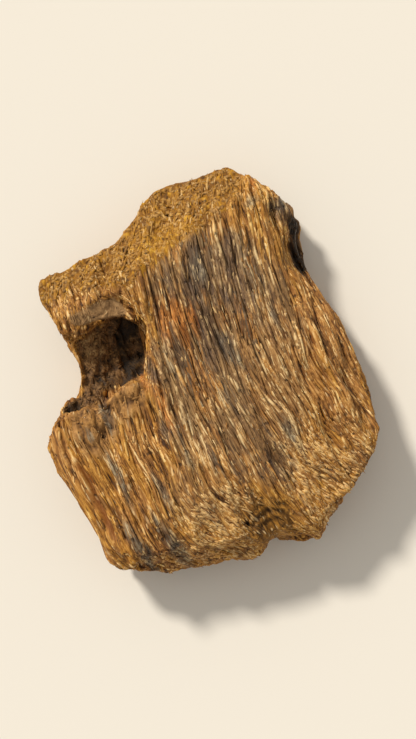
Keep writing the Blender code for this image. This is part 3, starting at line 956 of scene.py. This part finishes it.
def mark(mesh, marks, grain):
    """Stores the marks and the grain places that the material reads."""
    for name, value in marks.items():
        attribute = mesh.attributes.new(name, "FLOAT", "POINT")
        attribute.data.foreach_set("value", value.astype(np.float32))
    attribute = mesh.attributes.new("grain", "FLOAT_VECTOR", "POINT")
    attribute.data.foreach_set("vector", grain.astype(np.float32).ravel())
    mesh.shade_smooth()


def inside_box(points):
    low_corner, high_corner = np.array(CAD_BOX) / MM
    return np.clip(points, low_corner, high_corner)


def open_places(points, normals, zone):
    """Where fibres can lie: not under the chip, in a gap, or where the grain runs into a torn end."""
    into = np.abs((course(points) * normals[:, :2]).sum(axis=1))
    clear = (points[:, 2] > 0.8) * (1 - 0.95 * zone.dent)
    return clear * ease(-0.4, 0.3, normals[:, 2]) * ease(0.85, 0.6, into) + 1 / FAR


def carve(body):
    """Gives the body its relief and its marks, and returns what the fibres need to know of it."""
    mesh = body.data
    nudge(mesh)
    soften_torn_end(mesh)
    shape_facet(mesh)
    raise_rim(mesh)
    points = points_of(mesh)
    normals = normals_of(mesh)
    where = seen(points)
    grain = grain_at(points)
    zone = zones_of(points, normals, where, grain)
    relief, carved = relief_of(zone, points, normals, where, grain)
    zone.dent = np.clip(carved.gap * zone.calm + carved.crease + carved.hole, 0, 1)
    moved = inside_box(points + normals * relief[:, None])
    set_points(mesh, moved * MM)
    # Painted light and shade: the tone is lighter where the relief stands proud, darker where it sinks.
    broad = smoothed(mesh, relief[:, None], BROAD_SMOOTHING)[:, 0]
    marks = marks_of(zone, carved, np.clip(0.5 + (relief - broad), 0, 1), normals, where, grain)
    mark(mesh, marks, grain)

    straight = unit(smoothed(mesh, normals, NORMAL_SMOOTHING))
    faces = [tuple(face.vertices) for face in mesh.polygons]
    return SimpleNamespace(
        points=moved,
        normals=straight,
        grain=grain,
        zone=zone,
        marks=marks,
        open=open_places(moved, straight, zone),
        tree=BVHTree.FromPolygons(moved.tolist(), faces),
        corner_of=np.array([face[0] for face in faces]),
    )


def traced(surface, chosen, halves, strays):
    """Rings of each fibre: their places beside the surface, how high the wood is there, and its face."""
    middle = len(RING_PLACES) // 2
    normal = surface.normals[chosen]
    path = np.repeat(surface.points[chosen][:, None, :], len(RING_PLACES), axis=1)
    for sense in (1, -1):
        for step in range(1, middle + 1):
            here = middle + sense * step
            before = here - sense
            way = turned(course(path[:, before]), strays)
            way = np.column_stack([way, np.zeros(len(way))])
            way -= (way * normal).sum(axis=1)[:, None] * normal
            stride = halves * (RING_PLACES[here] - RING_PLACES[before])
            path[:, here] = path[:, before] + unit(way) * stride[:, None]
    height = np.full(path.shape[:2], np.nan)
    owner = np.zeros(path.shape[:2], int)
    for fibre, ring in itertools.product(range(len(chosen)), range(len(RING_PLACES))):
        way = Vector(normal[fibre])
        origin = Vector(path[fibre, ring]) + way * PROBE
        _, _, face, distance = surface.tree.ray_cast(origin, -way, 2 * PROBE)
        if face is not None:
            height[fibre, ring] = PROBE - distance
            owner[fibre, ring] = face
    return path, height, owner


def spindles(centre, normal, wide, thick):
    """Corner places of closed spindles round their middle lines: rings of corners, then the two tips."""
    along = np.gradient(centre, axis=1)
    side = unit(np.cross(along, normal[:, None, :]))
    top = unit(np.cross(side, along))
    rings = []
    for corner in range(SIDES):
        turn = 2 * math.pi * corner / SIDES
        across = math.cos(turn) * (wide[:, None] * RING_GIRTHS)[:, :, None] * side
        raised = math.sin(turn) * (thick[:, None] * RING_GIRTHS)[:, :, None] * top
        rings.append(centre + across + raised)
    rings = np.stack(rings, axis=2).reshape(len(centre), -1, 3)
    first_tip = centre[:, :1] - TIP_REACH * along[:, :1]
    last_tip = centre[:, -1:] + TIP_REACH * along[:, -1:]
    return np.concatenate([rings, first_tip, last_tip], axis=1)


def spindle_faces():
    """A spindle's faces, by its corners' numbers."""
    faces = []
    for ring, corner in itertools.product(range(len(RING_PLACES) - 1), range(SIDES)):
        a = ring * SIDES + corner
        b = ring * SIDES + (corner + 1) % SIDES
        faces.append((a, a + SIDES, b + SIDES, b))
    final = (len(RING_PLACES) - 1) * SIDES
    first_tip = final + SIDES
    last_tip = first_tip + 1
    for corner in range(SIDES):
        following = (corner + 1) % SIDES
        faces.append((first_tip, corner, following))
        faces.append((last_tip, final + following, final + corner))
    return faces


def lay_batch(batch, surface):
    """One batch of fibres, half sunk in the wood: corner places, the faces under them, and their looks.
    A fibre that would bridge a dip or cut through a lump is left out."""
    random = np.random.default_rng(batch.seed)
    wish = batch.wish(surface.zone) * surface.open
    count = batch.count
    chosen = random.choice(len(wish), count, replace=False, p=wish / wish.sum())
    normal = surface.normals[chosen]
    halves = random.uniform(*batch.long, count) / 2
    strays = random.normal(0, math.radians(batch.stray), count)
    strays += math.radians(batch.lean) * (surface.zone.flecked + surface.zone.arm)[chosen]
    path, height, owner = traced(surface, chosen, halves, strays)
    even = height @ EVEN_OUT.T
    keep = np.abs(height - even).max(axis=1) < UNEVEN_LIMIT
    keep &= np.abs(height).max(axis=1) < HEIGHT_LIMIT
    wide = random.uniform(*batch.wide, count) / 2
    thick = random.uniform(*batch.thick, count)
    rise = random.uniform(*batch.rise, count) * ease(0.35, 0.85, normal[:, 2])
    tilt = ((RING_PLACES * random.choice([-1, 1], count)[:, None] + 1) / 2) ** 2
    sunk = 0.25 * thick + 0.2 * ease(0.6, 0.1, normal[:, 2])
    over = (1 - EVEN_SHARE) * height + EVEN_SHARE * even - sunk[:, None] + rise[:, None] * tilt
    centre = path + normal[:, None, :] * over[:, :, None]
    owner = np.concatenate([np.repeat(owner, SIDES, axis=1), owner[:, :1], owner[:, -1:]], axis=1)
    own = surface.marks["own"][chosen] + random.normal(0, OWN_SPREAD, count)
    # A few fibres get a painted highlight.
    light = (random.uniform(0, 1, count) < batch.bright) * random.uniform(0.4, 1, count)
    # Flecks are made paler, partly as painted highlight.
    pale = batch.pale * random.uniform(0.2, 1, count)
    # On a loose fibre the tone is a random tone of its own.
    tone = random.uniform(0.4, 0.68, count)
    looks = {"own": own[keep], "light": light[keep], "pale": pale[keep], "tone": tone[keep]}
    points = spindles(centre, normal, wide, thick)[keep]
    return SimpleNamespace(points=points, owners=owner[keep], looks=looks)


def lay_fibres(name, surface, batches):
    """Closed thin spindles along the grain, joined in one mesh with the marks of the wood under them."""
    laid = [lay_batch(batch, surface) for batch in batches]
    points = np.concatenate([batch.points for batch in laid])
    owners = surface.corner_of[np.concatenate([batch.owners for batch in laid]).ravel()]
    count, size = points.shape[:2]
    faces = [
        tuple(size * fibre + corner for corner in face)
        for fibre, face in itertools.product(range(count), spindle_faces())
    ]
    mesh = bpy.data.meshes.new(name)
    mesh.from_pydata(inside_box(points.reshape(-1, 3)) * MM, [], faces)
    marks = {key: value[owners] for key, value in surface.marks.items()}
    for key in laid[0].looks:
        marks[key] = np.repeat(np.concatenate([batch.looks[key] for batch in laid]), size)
    for hidden in ("gap", "crack", "crease", "arcs", "dots"):
        marks[hidden] = np.zeros(len(owners))
    shift = np.random.default_rng(count).uniform(-PATTERN_SHIFT, PATTERN_SHIFT, (count, 3)) * (1, 3, 1)
    mark(mesh, marks, surface.grain[owners] + np.repeat(shift, size, axis=0))
    return put(name, mesh)


def fibre_wish(zone):
    bare = np.maximum.reduce([
        zone.by_facet, zone.pocket, zone.hollow, 0.96 * zone.ledge, 0.98 * zone.patch, zone.scoop,
        0.8 * zone.lip,
    ])
    return np.clip(1 - bare, 0.01, 1) * (1 - 0.7 * zone.smooth) * (1 - 0.6 * zone.flecked)


def fleck_wish(zone):
    bare = np.maximum.reduce([zone.by_facet, zone.pocket, zone.hollow, 0.9 * zone.patch, zone.scoop])
    return (1 - bare) * (1 - 0.7 * zone.smooth) * (zone.flecked + 0.3 * zone.arm + 0.4 * zone.tip + 0.04)


def crumb_wish(zone):
    return 0.12 * zone.patch + 0.45 * zone.pocket * (1 - zone.black) + 0.04 * zone.scoop


def knob_wish(zone):
    return zone.ledge * (1 - zone.by_facet)


# Batches: how many and their seed, their sizes, how far one end stands off the wood, how far they
# stray from the grain and lean in worn places in degrees, where they lie, how many get a painted
# highlight, and how pale they are, partly as painted highlight.
Batch = namedtuple("Batch", "count seed long wide thick rise stray lean wish bright pale")
FIBRES = [
    Batch(2400, 21, (4.0, 10.0), (0.36, 0.68), (0.1, 0.22), (0, 0.06), 3, 4, fibre_wish, 0.14, 0.08),
    Batch(2400, 22, (2.4, 6.5), (0.22, 0.44), (0.1, 0.18), (0, 0.12), 4, 8, fibre_wish, 0.14, 0.08),
]
FLECKS = [
    Batch(1100, 23, (0.8, 2.1), (0.3, 0.5), (0.14, 0.24), (0.05, 0.25), 9, 20, fleck_wish, 0.6, 1.2),
    Batch(900, 26, (1.5, 3.4), (0.3, 0.6), (0.1, 0.2), (0, 0.12), 7, 16, fleck_wish, 0.1, 0.2),
    Batch(240, 24, (0.7, 1.6), (0.3, 0.7), (0.1, 0.22), (0, 0.1), 50, 0, crumb_wish, 0.25, 0.1),
    Batch(760, 25, (0.6, 1.1), (0.5, 0.85), (0.14, 0.24), (0, 0.06), 60, 0, knob_wish, 0.35, 0.45),
]


def linear(red, green, blue):
    """A colour given from 0 to 255 as a screen shows it, for a shader socket."""
    def one(value):
        value /= 255
        return value / 12.92 if value <= 0.04045 else ((value + 0.055) / 1.055) ** 2.4
    return (one(red), one(green), one(blue), 1)


class Nodes:
    """Makes a material's nodes. What goes into one is a number, a vector, a colour, another's output or
    the name of a mark on the mesh."""

    def __init__(self, tree):
        self.tree = tree
        self.grain = self.add("ShaderNodeAttribute", attribute_name="grain").outputs["Vector"]

    def add(self, kind, inputs=None, **settings):
        node = self.tree.nodes.new(kind)
        for name, value in settings.items():
            setattr(node, name, value)
        for key, value in (inputs or {}).items():
            if isinstance(value, str):
                value = self.add("ShaderNodeAttribute", attribute_name=value).outputs["Fac"]
            if isinstance(value, bpy.types.NodeSocket):
                self.tree.links.new(value, node.inputs[key])
            else:
                node.inputs[key].default_value = value
        return node

    def maths(self, operation, first, second, clamp=False):
        node = self.add("ShaderNodeMath", {0: first, 1: second}, operation=operation, use_clamp=clamp)
        return node.outputs[0]

    def plus(self, first, second, clamp=False):
        return self.maths("ADD", first, second, clamp)

    def minus(self, first, second, clamp=False):
        return self.maths("SUBTRACT", first, second, clamp)

    def times(self, first, second):
        return self.maths("MULTIPLY", first, second)

    def ramp(self, value, stops):
        node = self.add("ShaderNodeValToRGB", {0: value})
        points = node.color_ramp.elements
        while len(points) < len(stops):
            points.new(0.5)
        for point, (place, colour) in zip(points, stops):
            point.position = place
            point.color = linear(*colour)
        return node.outputs[0]

    def blend(self, amount, below, above):
        """One colour over another. Sockets 6 and 7 are the colours, and output 2 is their mix."""
        return self.add("ShaderNodeMix", {0: amount, 6: below, 7: above}, data_type="RGBA").outputs[2]

    def blend_numbers(self, amount, below, above):
        """The same with numbers, on sockets 2 and 3."""
        return self.add("ShaderNodeMix", {0: amount, 2: below, 3: above}).outputs[0]

    def over(self, value, low, high):
        """0 below low, 1 above high, smooth between."""
        inputs = {0: value, 1: low, 2: high}
        return self.add("ShaderNodeMapRange", inputs, interpolation_type="SMOOTHSTEP").outputs[0]

    def stretched(self, wide, long, shift):
        """Grain places on which a pattern's bumps get this width and length."""
        inputs = {0: self.grain, 1: (1 / wide, 1 / long, 1 / wide), 2: (shift, shift, shift)}
        return self.add("ShaderNodeVectorMath", inputs, operation="MULTIPLY_ADD").outputs[0]

    def streaks(self, wide, long, shift, detail=2.0):
        inputs = {"Vector": self.stretched(wide, long, shift), "Scale": 1.0, "Detail": detail}
        return self.add("ShaderNodeTexNoise", inputs).outputs[0]

    def seeds(self, wide, long, shift):
        """Distance to the nearest of many scattered seeds, and that seed's own colour."""
        node = self.add("ShaderNodeTexVoronoi", {"Vector": self.stretched(wide, long, shift), "Scale": 1.0})
        return node.outputs["Distance"], node.outputs["Color"]

    def channel(self, colour, which):
        return self.add("ShaderNodeSeparateColor", {0: colour}).outputs[which]

    def total(self, start, *terms):
        """A sum kept from 0 to 1. A term is a source, the value where it adds nothing, and its weight."""
        for source, nothing, weight in terms:
            start = self.plus(start, self.times(self.minus(source, nothing), weight))
        return self.plus(start, 0.0, True)


def wood_patterns(make):
    """Streaks along the grain, and how light they make split, smooth and rotten wood, with the painted
    shade, painted highlights and patches painted lighter added in.
    """
    pattern = SimpleNamespace()
    pattern.broad = make.streaks(1.6, 14, 3.7)
    pattern.middle = make.streaks(0.5, 6, 11.3)
    pattern.fine = make.streaks(0.24, 3.5, 29.1, 3.0)
    pattern.hair = make.streaks(0.12, 1.5, 47.9)
    pattern.grit = make.streaks(0.3, 0.4, 57.7, 3.0)
    pattern.strand = make.seeds(0.8, 8, 61.3)[1]
    thread = make.seeds(0.34, 4, 73.9)[1]
    pattern.split = make.total(
        0.475,
        ("own", 0.0, 0.34),
        (make.channel(thread, 0), 0.5, 0.2),
        (make.channel(pattern.strand, 0), 0.5, 0.16),
        (make.streaks(3.0, 16, 83.1), 0.5, 0.3),
        (pattern.middle, 0.5, 0.7),
        (pattern.fine, 0.5, 0.95),
        (pattern.hair, 0.5, 0.6),
        ("tone", 0.5, 0.5),
        ("light", 0.0, 0.25),
        ("gap", 0.0, -0.26),
        ("lift", 0.0, 0.13),
        ("fleck_zone", 0.0, -0.07),
        ("resin", 0.0, -0.05),
    )
    pattern.smooth = make.total(
        0.385,
        (make.streaks(0.9, 1.3, 91.7), 0.5, 0.75),
        (pattern.fine, 0.5, 0.15),
        (pattern.grit, 0.5, 0.65),
        ("tone", 0.5, 0.45),
        ("dots", 0.0, 0.2),
        ("glow", 0.0, 0.12),
        ("pale", 0.0, 0.12),
    )
    pattern.rotten = make.total(
        0.47,
        ("glow", 0.0, 0.26),
        (make.streaks(1.3, 1.5, 33.3), 0.5, 0.6),
        (pattern.grit, 0.5, 1.2),
        ("tone", 0.5, 0.5),
    )
    return pattern


def wood_colour(make, pattern):
    """The colour of each kind of surface, laid over those before it. Some layers are painted shade or
    painted highlight.
    """
    look = {name: make.ramp(pattern.split, stops) for name, stops in SPLIT_WOOD.items()}
    look.update({name: make.ramp(pattern.smooth, stops) for name, stops in SMOOTH_WOOD.items()})
    look.update({name: make.ramp(pattern.rotten, stops) for name, stops in ROTTEN_WOOD.items()})

    strand = make.channel(pattern.strand, 1)
    brown = make.blend(make.over(strand, 0.5, 0.7), look["umber"], look["rust"])
    brown = make.blend(make.times(make.over(strand, 0.2, 0.1), 0.7), brown, look["slate"])
    brown = make.blend(make.over(pattern.broad, 0.38, 0.55), look["umber"], brown)
    colour = make.blend(make.over(pattern.broad, 0.42, 0.6), look["gold"], look["rust"])
    layers = [
        ("plateau", 1.0, brown),
        ("tip", 1.0, look["gold"]),
        ("east", 1.0, look["rust"]),
        ("resin", 1.0, look["resin"]),
        ("lift", 0.45, look["rust"]),
        ("ledge", 0.92, look["crumbs"]),
        ("patch", 0.92, look["bark"]),
        # Dark resin on the shoulder and in the hollow, partly painted shade.
        ("shoulder", 0.9, look["resin"]),
    ]
    streaked = make.over(make.plus(pattern.middle, make.times(pattern.fine, 0.4)), 0.58, 0.8)
    layers += [
        ("slate", make.plus(0.55, make.times(streaked, 0.4)), look["slate"]),
        ("ember", make.plus(0.5, make.times(streaked, 0.5)), look["ember"]),
        ("olive", 1.0, look["olive"]),
        # Grooves between the arcs painted darker, as painted shade.
        ("arcs", 0.6, linear(*ARC_COLOUR)),
        ("tan", 1.0, look["tan"]),
        # Pale fibres and flecks, partly painted highlight.
        ("pale", 0.55, linear(*PALE_COLOUR)),
        # Creases painted darker, as painted shade.
        ("crease", 0.6, linear(*CREASE_COLOUR)),
        # Cracks painted darker, as painted shade.
        ("crack", 0.5, linear(*CRACK_COLOUR)),
        ("pocket", 1.0, look["rot"]),
        ("rim", 0.85, look["gold"]),
        # Near-black: dark resin, and painted shade in the crevice, the pits and the dark hollow.
        ("black", 1.0, look["char"]),
    ]
    for name, strength, above in layers:
        colour = make.blend(make.times(name, strength), colour, above)
    return colour


def pores_and_tips(make):
    """Small dark pores, and pale tips of fibres, which crowd where flecks lie and are missing on rot."""
    dot, dot_own = make.seeds(0.5, 0.9, 5.3)
    pores = make.times(make.over(dot, 0.38, 0.15), make.over(make.channel(dot_own, 0), 0.8, 0.86))
    tip, tip_own = make.seeds(0.36, 2.2, 17.7)
    rare = make.minus(0.86, make.times("fleck_zone", 0.3))
    chosen = make.over(make.minus(make.channel(tip_own, 1), rare), 0.0, 0.06)
    tips = make.times(make.over(tip, 0.5, 0.2), chosen)
    bare = make.plus(make.plus("pocket", "shoulder"), "black", True)
    return pores, make.times(tips, make.minus(1.0, bare, True))


def wood_bump(make, pattern, pores, tips):
    """The finest relief: streaks on split wood, grit on smooth and rotten wood."""
    along = make.plus(make.times(pattern.fine, 0.6), make.times(pattern.hair, 0.4))
    height = make.blend_numbers(make.times("even", 0.85), along, pattern.grit)
    height = make.minus(height, make.times(pores, 0.5))
    height = make.plus(height, make.times(tips, 0.4))
    inputs = {"Strength": BUMP_STRENGTH, "Distance": BUMP_HEIGHT, "Height": height}
    return make.add("ShaderNodeBump", inputs).outputs[0]


def wood():
    """One material for the whole chip, coloured by the marks on its meshes."""
    material = bpy.data.materials.new("resinous_wood")
    material.use_nodes = True
    tree = material.node_tree
    tree.nodes.clear()
    make = Nodes(tree)
    pattern = wood_patterns(make)
    pores, tips = pores_and_tips(make)
    colour = wood_colour(make, pattern)
    colour = make.blend(make.times(pores, 0.75), colour, linear(*PORE_COLOUR))
    colour = make.blend(make.times(tips, 0.55), colour, linear(*TIP_COLOUR))
    gloss = make.plus(make.times("resin", 0.5), "shoulder", True)
    inputs = {
        "Base Color": colour,
        "Roughness": make.minus(ROUGHNESS, make.times(gloss, RESIN_GLOSS)),
        "Normal": wood_bump(make, pattern, pores, tips),
        "Specular IOR Level": SPECULAR,
    }
    shader = make.add("ShaderNodeBsdfPrincipled", inputs)
    make.add("ShaderNodeOutputMaterial", {0: shader.outputs[0]})
    return material


def lay_paper():
    half = FLOOR_HALF
    mesh = bpy.data.meshes.new("floor")
    corners = [(-half, -half, 0), (half, -half, 0), (half, half, 0), (-half, half, 0)]
    mesh.from_pydata(corners, [], [(0, 1, 2, 3)])
    floor = put("floor", mesh)
    paper = bpy.data.materials.new("paper")
    paper.use_nodes = True
    shader = paper.node_tree.nodes["Principled BSDF"]
    shader.inputs["Base Color"].default_value = linear(*PAPER)
    shader.inputs["Roughness"].default_value = PAPER_ROUGHNESS
    mesh.materials.append(paper)


def light_studio():
    world = bpy.data.worlds.new("studio")
    bpy.context.scene.world = world
    world.use_nodes = True
    sky = world.node_tree.nodes["Background"]
    sky.inputs["Color"].default_value = SKY_COLOUR
    sky.inputs["Strength"].default_value = SKY_STRENGTH
    key = bpy.data.lights.new("key", "SUN")
    key.energy = KEY_STRENGTH
    key.angle = KEY_WIDTH
    key.color = KEY_COLOUR
    lamp = put("key", key)
    lamp.rotation_mode = "QUATERNION"
    lamp.rotation_quaternion = Vector(KEY_FROM).to_track_quat("Z", "Y")


def place_camera():
    lens = bpy.data.cameras.new("camera")
    lens.lens = FOCAL_LENGTH
    lens.sensor_width = SENSOR_WIDTH
    lens.clip_start = NEAREST_SEEN
    camera = put("camera", lens)
    placed = Matrix((RIGHT, UP, BACK)).transposed().to_4x4()
    placed.translation = EYE * MM
    camera.matrix_world = placed
    bpy.context.scene.camera = camera
    bpy.context.scene.view_settings.view_transform = "Standard"


body = fine_copy(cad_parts[NODE])
surface = carve(body)
pieces = [
    body,
    lay_fibres("agarwood_fibres", surface, FIBRES),
    lay_fibres("agarwood_flecks", surface, FLECKS),
]
material = wood()
for piece in pieces:
    piece.data.materials.clear()
    piece.data.materials.append(material)
    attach(piece, "root")
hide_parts(NODE)
lay_paper()
light_studio()
place_camera()
